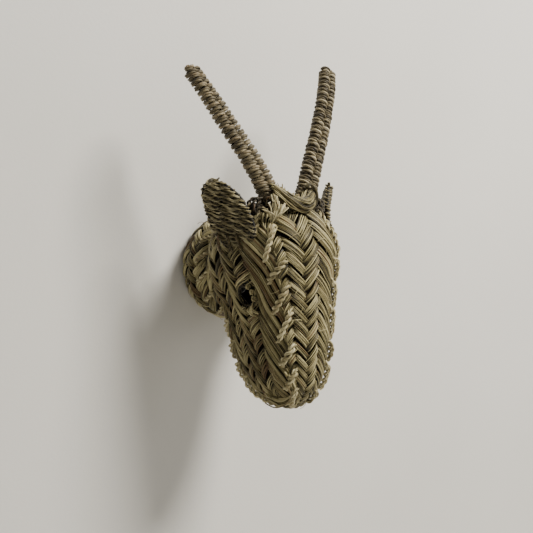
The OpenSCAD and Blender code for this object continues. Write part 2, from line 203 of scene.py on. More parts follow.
# Dried grass: every blade has its own tone, with fibres along it and weathered patches over many
def grassMaterial(name, look):
    marks = grassMarks
    made = bpy.data.materials.new(name)
    made.use_nodes = True
    tree = made.node_tree
    link = tree.links.new
    shader = tree.nodes["Principled BSDF"]
    tone = addNode(tree, "Attribute", (-1500, 300), attribute_name="tone")
    depthShade = addNode(tree, "Attribute", (-1500, 100), attribute_name="depthShade")
    rust = addNode(tree, "Attribute", (-1500, -100), attribute_name="rust")
    coords = addNode(tree, "TexCoord", (-1900, -400))
    stretch = addNode(tree, "Mapping", (-1700, -400))
    stretch.inputs["Scale"].default_value = marks["fibreScale"]
    fibres = addNoise(tree, (-1500, -400), 1.0, 4)
    patches = addNoise(tree, (-1500, -700), marks["patchScale"], 3)
    specks = addNoise(tree, (-1500, -1000), marks["speckScale"])
    link(coords.outputs["UV"], stretch.inputs["Vector"])
    link(stretch.outputs["Vector"], fibres.inputs["Vector"])
    link(coords.outputs["Object"], patches.inputs["Vector"])
    link(coords.outputs["Object"], specks.inputs["Vector"])

    def sums(a, share, b, place):        # a + share * b
        node = addNode(tree, "Math", place, operation="MULTIPLY_ADD")
        link(b, node.inputs[0])
        node.inputs[1].default_value = share
        link(a, node.inputs[2])
        return node.outputs[0]

    shade = sums(tone.outputs["Fac"], marks["fibres"], fibres.outputs["Fac"], (-1200, 200))
    shade = sums(shade, marks["patches"], patches.outputs["Fac"], (-1050, 200))
    shade = sums(shade, marks["specks"], specks.outputs["Fac"], (-900, 200))
    # Painted shade and light: a blade goes darker where it lies low or dives under another, lighter where it
    # lies high
    shade = sums(shade, marks["depthShade"], depthShade.outputs["Fac"], (-750, 200))
    centred = addNode(tree, "Math", (-600, 200), operation="SUBTRACT")
    centred.inputs[1].default_value = marks["darker"]
    link(shade, centred.inputs[0])
    ramp = addNode(tree, "ValToRGB", (-450, 200))
    stops = ramp.color_ramp.elements
    for k, (at, colour) in enumerate(zip(marks["stops"], look["shades"])):
        stop = stops[k] if k < 2 else stops.new(at)
        stop.position = at
        stop.color = (*colour, 1)
    link(centred.outputs[0], ramp.inputs["Fac"])

    # Some blades went reddish as they dried
    reddish = addNode(tree, "MapRange", (-450, -150))
    reddish.inputs["From Min"].default_value = 1 - look["rustShare"]
    reddish.inputs["From Max"].default_value = 1.25
    link(rust.outputs["Fac"], reddish.inputs["Value"])
    blend = addNode(tree, "Mix", (-150, 200), data_type="RGBA")
    blend.inputs["B"].default_value = (*look["rust"], 1)
    link(reddish.outputs["Result"], blend.inputs["Factor"])
    link(ramp.outputs["Color"], blend.inputs["A"])
    link(blend.outputs["Result"], shader.inputs["Base Color"])

    rough = addNode(tree, "MapRange", (-450, -450))
    rough.inputs["To Min"].default_value = look["rough"] - 0.1
    rough.inputs["To Max"].default_value = look["rough"] + 0.14
    link(fibres.outputs["Fac"], rough.inputs["Value"])
    link(rough.outputs["Result"], shader.inputs["Roughness"])
    relief = sums(fibres.outputs["Fac"], marks["relief"], specks.outputs["Fac"], (-450, -700))
    bump = addNode(tree, "Bump", (-200, -600))
    bump.inputs["Strength"].default_value = marks["bump"]
    bump.inputs["Distance"].default_value = marks["bumpDistance"]
    link(relief, bump.inputs["Height"])
    link(bump.outputs["Normal"], shader.inputs["Normal"])
    shader.inputs["Sheen Weight"].default_value = look["sheen"]
    shader.inputs["Specular IOR Level"].default_value = look.get("shine", marks["shine"])
    return made


materials = {name: grassMaterial(name + "Grass", look) for name, look in grassColours.items()}
print("materials made")


# One blade or yarn: its points, its radius along them, how light and reddish it is, and how deep it lies,
# which paints shade on it where it lies low and light where it lies high.
# It comes to a blunt point at both ends.
def blade(points, radius, tone, rust=0.0, depthShade=0.0):
    tip = 0.35
    radius = np.broadcast_to(np.asarray(radius, float), len(points))
    depthShade = np.broadcast_to(np.asarray(depthShade, float), len(points))
    start = points[0] + unit(points[0] - points[1]) * radius[0] * tip
    end = points[-1] + unit(points[-1] - points[-2]) * radius[-1] * tip
    return {"points": np.vstack([start, points, end]), "radius": np.r_[0, radius, 0],
            "tone": tone, "rust": rust, "depthShade": np.r_[depthShade[0], depthShade, depthShade[-1]]}


def setValues(mesh, key, values):
    mesh.attributes.new(key, "FLOAT", "POINT").data.foreach_set("value", values.astype(np.float32))


def placed(name, mesh, material):
    mesh.materials.append(material)
    made = bpy.data.objects.new(name, mesh)
    bpy.context.collection.objects.link(made)
    return made


# Bevelled curves along all the blades of a piece, turned into one closed mesh each
def bladeMesh(name, blades, material):
    sides = 6
    curve = bpy.data.curves.new(name, "CURVE")
    curve.dimensions = "3D"
    curve.bevel_depth = 1
    curve.bevel_resolution = (sides - 4) // 2
    for b in blades:
        b["points"][:, 1] = np.minimum(b["points"][:, 1], -b["radius"])     # nothing goes into the wall
        spline = curve.splines.new("POLY")
        spline.points.add(len(b["points"]) - 1)
        spline.points.foreach_set("co", np.c_[b["points"] * mm, np.ones(len(b["points"]))].ravel())
        spline.points.foreach_set("radius", b["radius"] * mm)
        spline.use_smooth = True
    shape = bpy.data.objects.new(name + "Curve", curve)
    bpy.context.collection.objects.link(shape)
    seen = bpy.context.evaluated_depsgraph_get()
    mesh = bpy.data.meshes.new_from_object(shape.evaluated_get(seen))
    bpy.data.objects.remove(shape)
    bpy.data.curves.remove(curve)

    counts = np.array([len(b["points"]) for b in blades])
    for key in ("tone", "rust"):
        setValues(mesh, key, np.repeat([b[key] for b in blades], counts * sides))
    setValues(mesh, "depthShade", np.repeat(np.concatenate([b["depthShade"] for b in blades]), sides))
    # The UV map is in metres along and round each blade, and starts somewhere else on each
    layer = mesh.uv_layers[0]
    uv = np.empty(2 * len(mesh.loops), np.float32)
    layer.data.foreach_get("uv", uv)
    uv = uv.reshape(-1, 2)
    loops = (counts - 1) * sides * 4
    lengths = [np.linalg.norm(np.diff(b["points"], axis=0), axis=1).sum() * mm for b in blades]
    girths = [2 * math.pi * b["radius"].max() * mm for b in blades]
    starts = uniform(0, 4, (2, len(blades)))
    uv[:, 0] = uv[:, 0] * np.repeat(lengths, loops) + np.repeat(starts[0], loops)
    uv[:, 1] = uv[:, 1] * np.repeat(girths, loops) + np.repeat(starts[1], loops)
    layer.data.foreach_set("uv", uv.ravel())
    build = bmesh.new()
    build.from_mesh(mesh)
    bmesh.ops.remove_doubles(build, verts=build.verts, dist=1e-8)
    build.to_mesh(mesh)
    build.free()
    mesh.shade_smooth()
    return placed(name, mesh, material)


def finishPiece(made, slot, *nodes):
    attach(made, "root")
    if nodes:
        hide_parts(*nodes)
    triangles = sum(len(p.vertices) - 2 for p in made.data.polygons)
    print(made.name, "made,", triangles, "triangles")


def finishBlades(name, blades, look, slot, node):
    finishPiece(bladeMesh(name, blades, materials[look]), slot, node)


# Opens a round hole in what lies near it, as fingers part the blades
def parted(points, centre, out, hole, reach):
    away = points - centre
    high = away @ out
    flat = away - high[:, None] * out
    far = np.linalg.norm(flat, axis=1)
    pushed = np.where(far < reach, hole + far * (reach - hole) / reach, far)
    close = np.abs(high) < head["eyeDeep"]
    moved = points + np.where(close, (pushed - far) / np.maximum(far, 0.05), 0)[:, None] * flat
    return moved, ~close | (far > head["eyeCut"])


# How unevenly a plait lies: shifts are shares of a bundle or blade, reaches the lengths they drift over
uneven = {
    "bundleTone": 0.12, "bladeTone": 0.19,
    "bundleShift": 0.08, "bundleSway": 0.05, "bundleReach": 60,
    "bladeShift": 0.22, "bladeSway": 0.25, "bladeReach": 45, "high": 0.25, "highReach": 30,
    "thick": (0.82, 1.22), "thickSway": 0.1, "thickReach": 38,
    "turn": 0.97,        # 1 turns the bundles sharply at the edges, less turns them in a bow
    "dive": 0.45,        # the lower, the more suddenly a bundle dives under the next
}


# How far inside its two edges a plait's blades stay, as shares of its width
def edgeShares(spec, wide, radius, most):
    low = (spec["inset"] - spec.get("under", 0) + radius) / wide
    high = (spec["inset"] - spec.get("over", 0) + radius) / wide
    return np.clip(low, -0.15, most), np.clip(high, -0.15, most)


# A flat plait: bundles zigzag from edge to edge, and in each column one slant lies on top.
# The skew slides the pattern along the plait by its place across, so that one slant is the steeper.
def plaitBlades(surface, spec, eye=None):
    closed = spec.get("closed", False)
    us = np.linspace(spec["from"], spec["to"], 700)
    middle = surface(us, 0.5)
    run = np.r_[0, np.cumsum(np.linalg.norm(np.diff(middle, axis=0), axis=1))]
    cuts = [surface(us, v) for v in np.linspace(0, 1, 7)]
    width = sum(np.linalg.norm(b - a, axis=1) for a, b in zip(cuts, cuts[1:]))
    n, m, long = spec["bundles"], spec["blades"], run[-1]
    period = n * spec["spacing"] * (width / spec["width"]) ** spec["gather"]
    rate = 1 / period
    turns = np.r_[0, np.cumsum(0.5 * (rate[1:] + rate[:-1]) * np.diff(run))]
    if closed:
        turns *= np.round(turns[-1] * n) / n / turns[-1]
    reach = 0 if closed else 1.1 * max(abs(k) for k in spec["skew"]) * width.max()
    s = np.linspace(-reach, long + reach, int((long + 2 * reach) / spec["step"]))
    turn = np.interp(s, run, turns) + np.minimum(s, 0) * rate[0] + np.maximum(s - long, 0) * rate[-1]
    skew = smoothLine(spec["skew"], s / long)
    columns, tops = np.array(spec["columns"]), np.array(spec["tops"])
    blades = []
    for k in range(n):
        bundleTone = chance.normal(0, uneven["bundleTone"])
        bundleShift = uniform(-uneven["bundleShift"], uneven["bundleShift"])
        bundleRust = uniform() ** 2
        bundleSway = drift(s, uneven["bundleReach"]) * uneven["bundleSway"]
        for j in range(m):
            share = (j + 0.5) / m - 0.5
            offset = share * spec["fill"] + uniform(-uneven["bladeShift"], uneven["bladeShift"]) / m
            offset = offset + uneven["bladeSway"] / m * drift(s, uneven["bladeReach"])
            phase = turn + (bundleShift + bundleSway - k + offset) / n
            v = np.arcsin(uneven["turn"] * np.cos(2 * math.pi * phase)) / math.asin(uneven["turn"])
            v = 0.5 - 0.5 * v
            going = np.where(phase % 1 < 0.5, 1, -1)
            # A bundle dives under the side of the bundle that crosses it, so the change follows that side
            changeAt = np.clip(v - going * share * spec["fill"] / n, 0.001, 0.999)
            column = np.clip(np.searchsorted(columns, changeAt, side="right") - 1, 0, len(tops) - 1)
            inside = (changeAt - columns[column]) / (columns[column + 1] - columns[column])
            lift = going * tops[column] * np.sin(math.pi * np.clip(inside, 0, 1)) ** uneven["dive"]
            place = s + skew * v * np.interp(s, run, width)
            shown = (place >= 0) & (place <= long)
            at = np.clip(place, 0, long)
            u, wide = np.interp(at, run, us), np.interp(at, run, width)
            gap = np.interp(at, run, period) / n
            gap = gap * np.sin(np.arctan(2 * wide / (gap * n)))      # between the middles of two bundles
            size = np.clip(gap / spec["gap"], 0.3, 1.15)
            crown = spec["crown"] * (1 - 4 * share ** 2) * np.maximum(lift, 0)
            rise = uniform(-uneven["high"], uneven["high"])
            rise = rise + uneven["high"] * drift(s, uneven["highReach"])
            height = -spec["middle"] + size * (spec["swell"] * lift + crown + rise)
            radius = 0.5 * spec["fill"] * gap / m * uniform(*uneven["thick"])
            radius = radius * (1 + uneven["thickSway"] * drift(s, uneven["thickReach"]))
            low, high = edgeShares(spec, wide, radius, 0.3)
            points, _ = spotOn(surface, u, low + (1 - low - high) * v, height, closed)
            if eye is not None:
                points, kept = parted(points, *eye)
                shown &= kept
            tone = float(np.clip(0.5 + bundleTone + chance.normal(0, uneven["bladeTone"]), 0.05, 0.95))
            rust = max(bundleRust, uniform() ** 3)
            ends = np.flatnonzero(np.diff(np.r_[0, shown.astype(int), 0]))
            for a, b in zip(ends[::2], ends[1::2]):
                if b - a > 3:                 # the shortest bits are left out
                    # The lift is passed on as painted shade where the bundle dives under and painted light
                    # where it lies on top
                    blades.append(blade(points[a:b], np.maximum(radius[a:b], 0.3), tone, rust, lift[a:b]))
    return blades


# The imported middle of a plait, painted near black: it stands for the shade between the bundles
def plaitCore(name, surface, spec, material, eye=None):
    below, thick = 0.3, 0.7
    closed = spec.get("closed", False)
    build = bmesh.new()
    bmesh.ops.create_grid(build, x_segments=72, y_segments=18, size=0.5)
    share = np.array([(v.co.x + 0.5, v.co.y + 0.5) for v in build.verts])
    u = spec["from"] + (spec["to"] - spec["from"]) * share[:, 0]
    wide = np.linalg.norm(surface(u, 1) - surface(u, 0), axis=1)
    low, high = edgeShares(spec, wide, 1.2, 0.35)
    height = np.full(len(u), -spec["middle"] - below)
    places, _ = spotOn(surface, u, low + (1 - low - high) * share[:, 1], height, closed)
    for v, p in zip(build.verts, places):
        v.co = p * mm
    if closed:
        bmesh.ops.remove_doubles(build, verts=build.verts, dist=1e-6)
    if eye is not None:
        centre = Vector(eye[0] * mm)
        hole = (eye[2] + head["eyeCoreGap"]) * mm
        gone = [f for f in build.faces if (f.calc_center_median() - centre).length < hole]
        bmesh.ops.delete(build, geom=gone, context="FACES")
    bmesh.ops.recalc_face_normals(build, faces=build.faces)
    bmesh.ops.solidify(build, geom=build.faces, thickness=thick * mm)
    mesh = bpy.data.meshes.new(name)
    build.to_mesh(mesh)
    build.free()
    # The lowest tone and depth paint it near black, as the shade between the bundles
    for key, value in (("tone", 0.02), ("rust", 0.0), ("depthShade", -1.6)):
        setValues(mesh, key, np.full(len(mesh.vertices), value))
    mesh.uv_layers.new(name="UVMap")
    mesh.shade_smooth()
    return placed(name, mesh, material)


def joined(first, *others):
    for o in bpy.context.selected_objects:
        o.select_set(False)
    for o in (first, *others):
        o.select_set(True)
    bpy.context.view_layer.objects.active = first
    bpy.ops.object.join()
    return first


strays = {"long": (5, 15), "curl": 0.5, "rise": 0.22, "drift": 0.12,
          "radius": (0.34, 0.2), "tone": (0.45, 0.95)}


# Broken blade ends that stick out of a plait and curl
def strayBlades(surface, count, spec, closed):
    blades = []
    for _ in range(count):
        u, v = uniform(spec["from"] + 0.03, spec["to"] - 0.03), uniform(0.08, 0.92)
        root, out = spotOn(surface, u, v, np.array(-0.5), closed)
        across = unit(np.cross(out, chance.normal(size=3)))
        long = uniform(*strays["long"])
        t = np.linspace(0, 1, 9)[:, None]
        curl = uniform(-strays["curl"], strays["curl"]) * np.cross(out, across)
        rise = strays["rise"] * np.sin(2.4 * t) + uniform(0, strays["drift"]) * t
        points = root + long * (across * t + curl * t ** 2 + out * rise)
        blades.append(blade(points, np.linspace(*strays["radius"], 9), uniform(*strays["tone"]),
                            uniform() ** 2, 1.0))
    return blades


# A plait runs "from" one share of its seams "to" another. Bundles lie "spacing" apart where it is "width"
# wide, and "gather" says how much closer they lie where it is narrower. In each of the columns across it
# the slant in "tops" is the upper one. "swell" and "crown" are its relief where bundles are "gap" apart,
# "middle" is how deep it lies, and "under" and "over" are how far it goes past its two edges.
plaits = {
    "face": {"from": 0.0, "to": 0.99, "width": 82, "bundles": 13, "spacing": 14.0, "gather": 0.5, "gap": 9.3,
             "skew": [-0.7, -0.7, -0.5, -0.15, 0, 0, 0, 0, 0],
             "columns": [0, 0.423, 0.654, 0.885, 1], "tops": [-1, 1, -1, 1], "blades": 6, "fill": 0.86,
             "middle": 2.6, "swell": 2.1, "crown": 1.2, "inset": -0.6, "step": 2.6},
    "leftCheek": {"from": 0.0, "to": 0.99, "width": 120, "bundles": 22, "spacing": 13.0, "gather": 0.5,
                  "gap": 8.4, "skew": [-1.0, -1.0, -1.05, -1.0, -0.9, -0.8, -0.7, -0.6, -0.5],
                  "columns": [0, 0.295, 0.432, 0.568, 0.705, 0.841, 1], "tops": [-1, 1, -1, 1, -1, 1],
                  "blades": 5, "fill": 0.88, "middle": 2.6, "swell": 2.1, "crown": 1.2, "inset": -0.6,
                  "over": 3.5, "step": 2.8},
    "jaw": {"from": 0.52, "to": 0.99, "width": 56, "bundles": 9, "spacing": 14, "gather": 0.5, "gap": 9.6,
            "skew": [0, 0], "columns": [0, 0.278, 0.5, 0.722, 1], "tops": [1, -1, 1, -1], "blades": 6,
            "fill": 0.9, "middle": 2.6, "swell": 2.0, "crown": 1.2, "inset": -0.4, "step": 2.6},
    "collar": {"from": 0.0, "to": 1.0, "closed": True, "width": 46, "bundles": 7, "spacing": 16.5,
               "gather": 0.5, "gap": 10.2, "columns": [0, 0.357, 0.643, 1], "tops": [1, -1, 1],
               "blades": 7, "skew": [0, 0],
               "fill": 0.88, "middle": 2.6, "swell": 1.9, "crown": 1.1, "inset": 0.3, "under": 1.5,
               "over": 4.5, "step": 2.4},
}
# The right cheek mirrors the left one
plaits["rightCheek"] = dict(
    plaits["leftCheek"], over=0, under=3.5, tops=[1, -1, 1, -1, 1, -1],
    skew=[-k for k in plaits["leftCheek"]["skew"]],
    columns=[1 - c for c in plaits["leftCheek"]["columns"][::-1]])

along, across = head["eyePlace"]
leftEye, leftEyeOut = spotOn(leftCheekSurface, along, across, np.array(0.0))
rightEye, rightEyeOut = spotOn(rightCheekSurface, along, 1 - across, np.array(0.0))


def buildPlait(name, surface, spec, look, slot, node, loose, eye=None):
    hole = None if eye is None else (*eye, head["eyeRadius"] + head["eyeGap"], head["eyeReach"])
    blades = plaitBlades(surface, spec, hole) + strayBlades(surface, loose, spec, spec.get("closed", False))
    made = bladeMesh(name, blades, materials[look])
    core = plaitCore(name + "Core", surface, spec, materials["gapShade"], hole)
    finishPiece(joined(made, core), slot, node)


buildPlait("faceBraid", faceSurface, plaits["face"], "plait", "braided_grass", "face_braid", 26)
buildPlait("leftCheekBraid", leftCheekSurface, plaits["leftCheek"], "plait", "braided_grass",
           "left_cheek_braid", 30, (leftEye, leftEyeOut))
buildPlait("rightCheekBraid", rightCheekSurface, plaits["rightCheek"], "plait", "braided_grass",
           "right_cheek_braid", 30, (rightEye, rightEyeOut))
buildPlait("jawBraid", jawSurface, plaits["jaw"], "shadedPlait", "shaded_grass", "jaw_braid", 8)
buildPlait("neckCollar", collarSurface, plaits["collar"], "plait", "braided_grass", "neck_collar", 14)
print("plaits made")


# Frames along a line that turn as little as they can
def carriedFrames(line):
    t = unit(np.gradient(line, axis=0))
    side = np.zeros_like(line)
    side[0] = unit(np.cross(t[0], [0.31, 0.52, 0.79]))
    for i in range(1, len(line)):
        side[i] = side[i - 1] - (side[i - 1] @ t[i]) * t[i]
        side[i] /= np.linalg.norm(side[i])
    return side, np.cross(t, side)


# Of a cord's width: how far its plies, yarns and loose blades lie from its middle, and how thick they are
cords = {"plies": 2, "ply": 0.25, "yarn": 0.118, "yarnRadius": 0.128, "loose": 0.27, "looseRadius": 0.225}


def lineRun(line):
    return np.r_[0, np.cumsum(np.linalg.norm(np.diff(line, axis=0), axis=1))]


def around(angle, side, up):
    return np.cos(angle)[:, None] * side + np.sin(angle)[:, None] * up


# A cord twisted from plies, each of a few yarns twisted the other way
def twistedCord(line, wide, pitch, tone=0.55, yarns=3, taper=1.0, counter=1.4):
    side, up = carriedFrames(line)
    run = lineRun(line)
    size = np.broadcast_to(taper, len(line))
    plies = cords["plies"]
    blades = []
    turn = uniform(0, 2 * math.pi)
    for p in range(plies):
        a = 2 * math.pi * run / pitch + 2 * math.pi * p / plies + turn
        plyTone = tone + chance.normal(0, 0.05)
        middle = line + (wide * cords["ply"] * size)[:, None] * around(a, side, up)
        for y in range(yarns):
            b = -2 * math.pi * run / (counter * pitch) + 2 * math.pi * y / yarns + 0.15 * drift(run, 30)
            spread = (wide * cords["yarn"] * size * (1 + 0.12 * drift(run, 16)))[:, None]
            radius = wide * cords["yarnRadius"] * size * uniform(0.9, 1.12)
            yarnTone = float(np.clip(plyTone + chance.normal(0, 0.1), 0.05, 0.98))
            # The last value paints shade on a ply where it turns under and light where it turns over
            blades.append(blade(middle + spread * around(b, side, up), radius, yarnTone,
                                uniform() ** 2.5, np.cos(a) * 0.3))
    return blades


# A few blades laid side by side with hardly any twist, as in a binding
def looseCord(line, wide, pitch, tone, count, taper):
    side, up = carriedFrames(line)
    run = lineRun(line)
    blades = []
    for y in range(count):
        a = 2 * math.pi * (run / pitch + y / count) + 0.3 * drift(run, 50)
        spread = (wide * cords["loose"] * taper * (1 + 0.15 * drift(run, 23)))[:, None]
        radius = wide * cords["looseRadius"] * taper * (1 + 0.1 * drift(run, 31))
        bladeTone = float(np.clip(tone + chance.normal(0, 0.12), 0.05, 0.98))
        # The last value paints shade on a blade where it turns under and light where it turns over
        blades.append(blade(line + spread * around(a, side, up), radius, bladeTone,
                            uniform() ** 2, np.cos(a) * 0.3))
    return blades


def bandSpots(surface, *spots):
    return [spotOn(surface, u, v, np.array(float(h)))[0] for u, v, h in spots]


# Stitches over a seam where v = 1 of the first plait meets v = 0 of the second
seams = {"wide": 7.4, "pitch": 14.5, "lift": 2.3, "sink": -3.0, "reach": 0.08, "slant": 0.031, "tone": 0.82}


def stitchBlades(first, second, u, scale, s):
    r, lift, sink = seams["reach"], seams["lift"], seams["sink"]
    a = bandSpots(first, (u - 1.25 * s, 1 - 1.3 * r, sink), (u - s, 1 - r, lift * 0.6),
                  (u - 0.5 * s, 1 - 0.45 * r, lift))
    c = bandSpots(second, (u + 0.5 * s, 0.45 * r, lift), (u + s, r, lift * 0.6),
                  (u + 1.25 * s, 1.3 * r, sink))
    line = evenLine([*a, (a[-1] + c[0]) / 2, *c], 1.3)
    return twistedCord(line, seams["wide"] * scale, seams["pitch"], seams["tone"])


def buildSeam(name, first, second, places, node, mirror=False):
    blades = []
    for u in places:
        slant = seams["slant"] * uniform(0.6, 1.5) * (-1 if mirror else 1)
        blades += stitchBlades(first, second, u, uniform(0.92, 1.1), slant)
    finishBlades(name, blades, "sewing", "sewing_cord", node)


faceStitches = np.linspace(0.26, 0.94, 8)
jawStitches = np.linspace(0.58, 0.93, 5)
buildSeam("leftFaceSeam", faceSurface, leftCheekSurface, faceStitches, "left_face_seam")
buildSeam("rightFaceSeam", rightCheekSurface, faceSurface, faceStitches, "right_face_seam", True)
buildSeam("leftJawSeam", leftCheekSurface, jawSurface, jawStitches, "left_jaw_seam")
buildSeam("rightJawSeam", jawSurface, rightCheekSurface, jawStitches, "right_jaw_seam", True)

collarSeam = {
    "stitches": 16, "wide": 5.6, "pitch": 11.0, "tone": 0.7,
    # A stitch: degrees round the collar, distance from the wall and height over the collar
    "stitch": [(-6, 36, -2.0), (-4, 41, 2.6), (0, 49, 4.6), (4, 55, 5.6), (6, 59, -1.0)],
}


def buildCollarSeam():
    blades = []
    for k in range(collarSeam["stitches"]):
        u = (k + 0.5) / collarSeam["stitches"]
        line = [spotOn(collarSurface, u + lean / 360, y / collarShape["long"], np.array(high), True)[0]
                for lean, y, high in collarSeam["stitch"]]
        line = evenLine(line, 1.1)
        blades += twistedCord(line, collarSeam["wide"], collarSeam["pitch"], collarSeam["tone"])
    finishBlades("collarSeam", blades, "sewing", "sewing_cord", "collar_seam")


buildCollarSeam()
print("seams made")

eyes = {
    "cord": 3.0, "pitch": 6.5, "tone": 0.3, "gap": 1.0, "lift": 0.4,
    "knots": 3, "knotSize": 2.0, "knotCord": 3.0, "knotPitch": 6.0, "knotTone": 0.8,
    "knotFrom": 0.95, "knotStep": 0.55,      # radians round the eye, from the side nearer to the face
    "curls": 14, "curlLong": 10, "curlRound": (-1.9, -0.3), "curlBend": 6,
}


# The rim of an eye, with knots at the side that is nearer to the face and curls of grass below
def buildEye(name, centre, out, node, right):
    side = unit(np.cross([0, 0, 1.0], out))
    up = np.cross(out, side)
    front = -side if right else side
    radius = head["eyeRadius"] + eyes["cord"] / 2 + eyes["gap"]
    a = np.linspace(0, 2 * math.pi, 60)[:, None]
    ring = centre + eyes["lift"] * out + radius * (np.cos(a) * side + np.sin(a) * up)
    blades = twistedCord(ring, eyes["cord"], eyes["pitch"], eyes["tone"])
    for k in range(eyes["knots"]):
        angle = eyes["knotFrom"] - eyes["knotStep"] * k
        foot = centre + (radius + 2.2) * (math.cos(angle) * front + math.sin(angle) * up) + 2.6 * out
        t = np.linspace(0, 1, 24)[:, None] * 2 * math.pi * 1.6
        knot = foot + eyes["knotSize"] * (np.cos(t) * out + np.sin(t) * up) + 0.6 * front * (t - 4) / 4
        blades += twistedCord(knot, eyes["knotCord"], eyes["knotPitch"], eyes["knotTone"])
    for _ in range(eyes["curls"]):
        angle = uniform(*eyes["curlRound"])
        foot = centre + (radius + 1.5) * (math.cos(angle) * front + math.sin(angle) * up) + 1.6 * out
        t = np.linspace(0, 1, 12)[:, None]
        bend = uniform(-eyes["curlBend"], eyes["curlBend"])
        long = eyes["curlLong"] * uniform(0.6, 1.2)
        rise = 3.4 * np.sin(math.pi * t) + 0.8
        curl = foot + (-up * long * t + front * (3 * t + bend * t * t) + out * rise)
        blades.append(blade(curl, uniform(0.5, 0.9), uniform(0.5, 0.95),
                            uniform() ** 2, 0.6))
    finishBlades(name, blades, "plait", "sewing_cord", node)


buildEye("leftEyeRim", leftEye, leftEyeOut, "left_eye_rim", False)
buildEye("rightEyeRim", rightEye, rightEyeOut, "right_eye_rim", True)
print("eyes made")

# Ears: rods spread like a fan, with rows of twined cord round both faces
ears = {
    "root": (-56, -112, 27), "tip": (-78, -111, 92), "across": (0.588, -0.809, 0), "long": 69, "thick": 12,
    "cup": 16, "front": [6, 22, 34, 37, 34, 31, 27, 18, 7], "back": [5, 14, 19, 21, 21, 21, 21, 18, 8],
    "rows": 18, "cord": 5.9, "pitch": 20.0, "counter": 3.0, "rods": 26, "rodRadius": 1.5, "rodInset": 3.6,
    "from": -0.15, "to": 0.985, "tieCord": 4.2, "tiePitch": 9, "tieTone": 0.34,
}


def earPlace(s, t, h):
    e = ears
    across = unit(np.array(e["across"], float))
    up = unit(np.array(e["tip"], float) - np.array(e["root"], float))
    out = unit(np.cross(across, up))
    s, t, h = (np.asarray(x, float)[..., None] for x in np.broadcast_arrays(s, t, h))
    curl = e["cup"] * (np.clip(s, 0, 34) / 30) ** 2 * (1 - np.maximum(t, 0)) ** 2
    return raised(e["root"]) + t * e["long"] * up + s * across + (h + curl) * out


def earSide(t, front):
    share = (t - ears["from"]) / (1 - ears["from"])
    return np.where(front, smoothLine(ears["front"], share), smoothLine(ears["back"], share))


def buildEar(name, mirror, weftNode, ribNode, tieNode):
    e = ears
    flip = (-1, 1, 1) if mirror else (1, 1, 1)
    half = e["cord"] / 2
    turn = np.linspace(0, e["rows"], int(e["rows"] * 110))
    t = e["from"] + (e["to"] - e["from"]) * turn / e["rows"]
    angle = 2 * math.pi * turn
    wide = np.maximum(earSide(t, np.cos(angle) > 0) - half, 1.0)
    tall = (e["thick"] / 2 - half * 0.7) * (1 - 0.4 * np.maximum(t, 0) ** 4)
    line = earPlace(wide * np.cos(angle), t, tall * np.sin(angle)) * flip
    line = evenLine(line, 1.5, smooth=False)
    size = 1 + 0.07 * drift(np.arange(len(line)), 90)
    weft = twistedCord(line, e["cord"], e["pitch"], yarns=2, taper=size, counter=e["counter"])
    finishBlades(name + "Weft", weft, "ear", "ear_cord", weftNode)

    rods = []
    for k in range(e["rods"]):
        share = 2 * k / (e["rods"] - 1) - 1
        at = np.linspace(e["from"] + 0.03, 0.93, 26)
        middle = share * (earSide(at, np.full(26, share > 0)) - e["rodInset"])
        line = earPlace(middle, at, 0) * flip
        # The rods lie inside the rows of cord: low tones and the lowest depth paint them dark, as shade
        rods.append(blade(line, e["rodRadius"], uniform(0.0, 0.2), 0.0, -1.0))
    finishBlades(name + "Ribs", rods, "rod", "grass_rod", ribNode)

    ties = []
    over = e["thick"] / 2 + 2
    for s in (-11, 0, 11):
        points = [earPlace(s, 0.16, over - 3), earPlace(s, 0.1, over), earPlace(1.1 * s, -0.02, over + 0.4),
                  earPlace(1.2 * s, -0.12, over - 2), earPlace(1.2 * s, -0.16, over - 5)]
        line = evenLine(np.array(points) * flip, 1.1)
        ties += twistedCord(line, e["tieCord"], e["tiePitch"], e["tieTone"])
    finishBlades(name + "Ties", ties, "sewing", "sewing_cord", tieNode)


buildEar("leftEar", False, "left_ear_weft", "left_ear_ribs", "left_ear_ties")
buildEar("rightEar", True, "right_ear_weft", "right_ear_ribs", "right_ear_ties")
print("ears made")

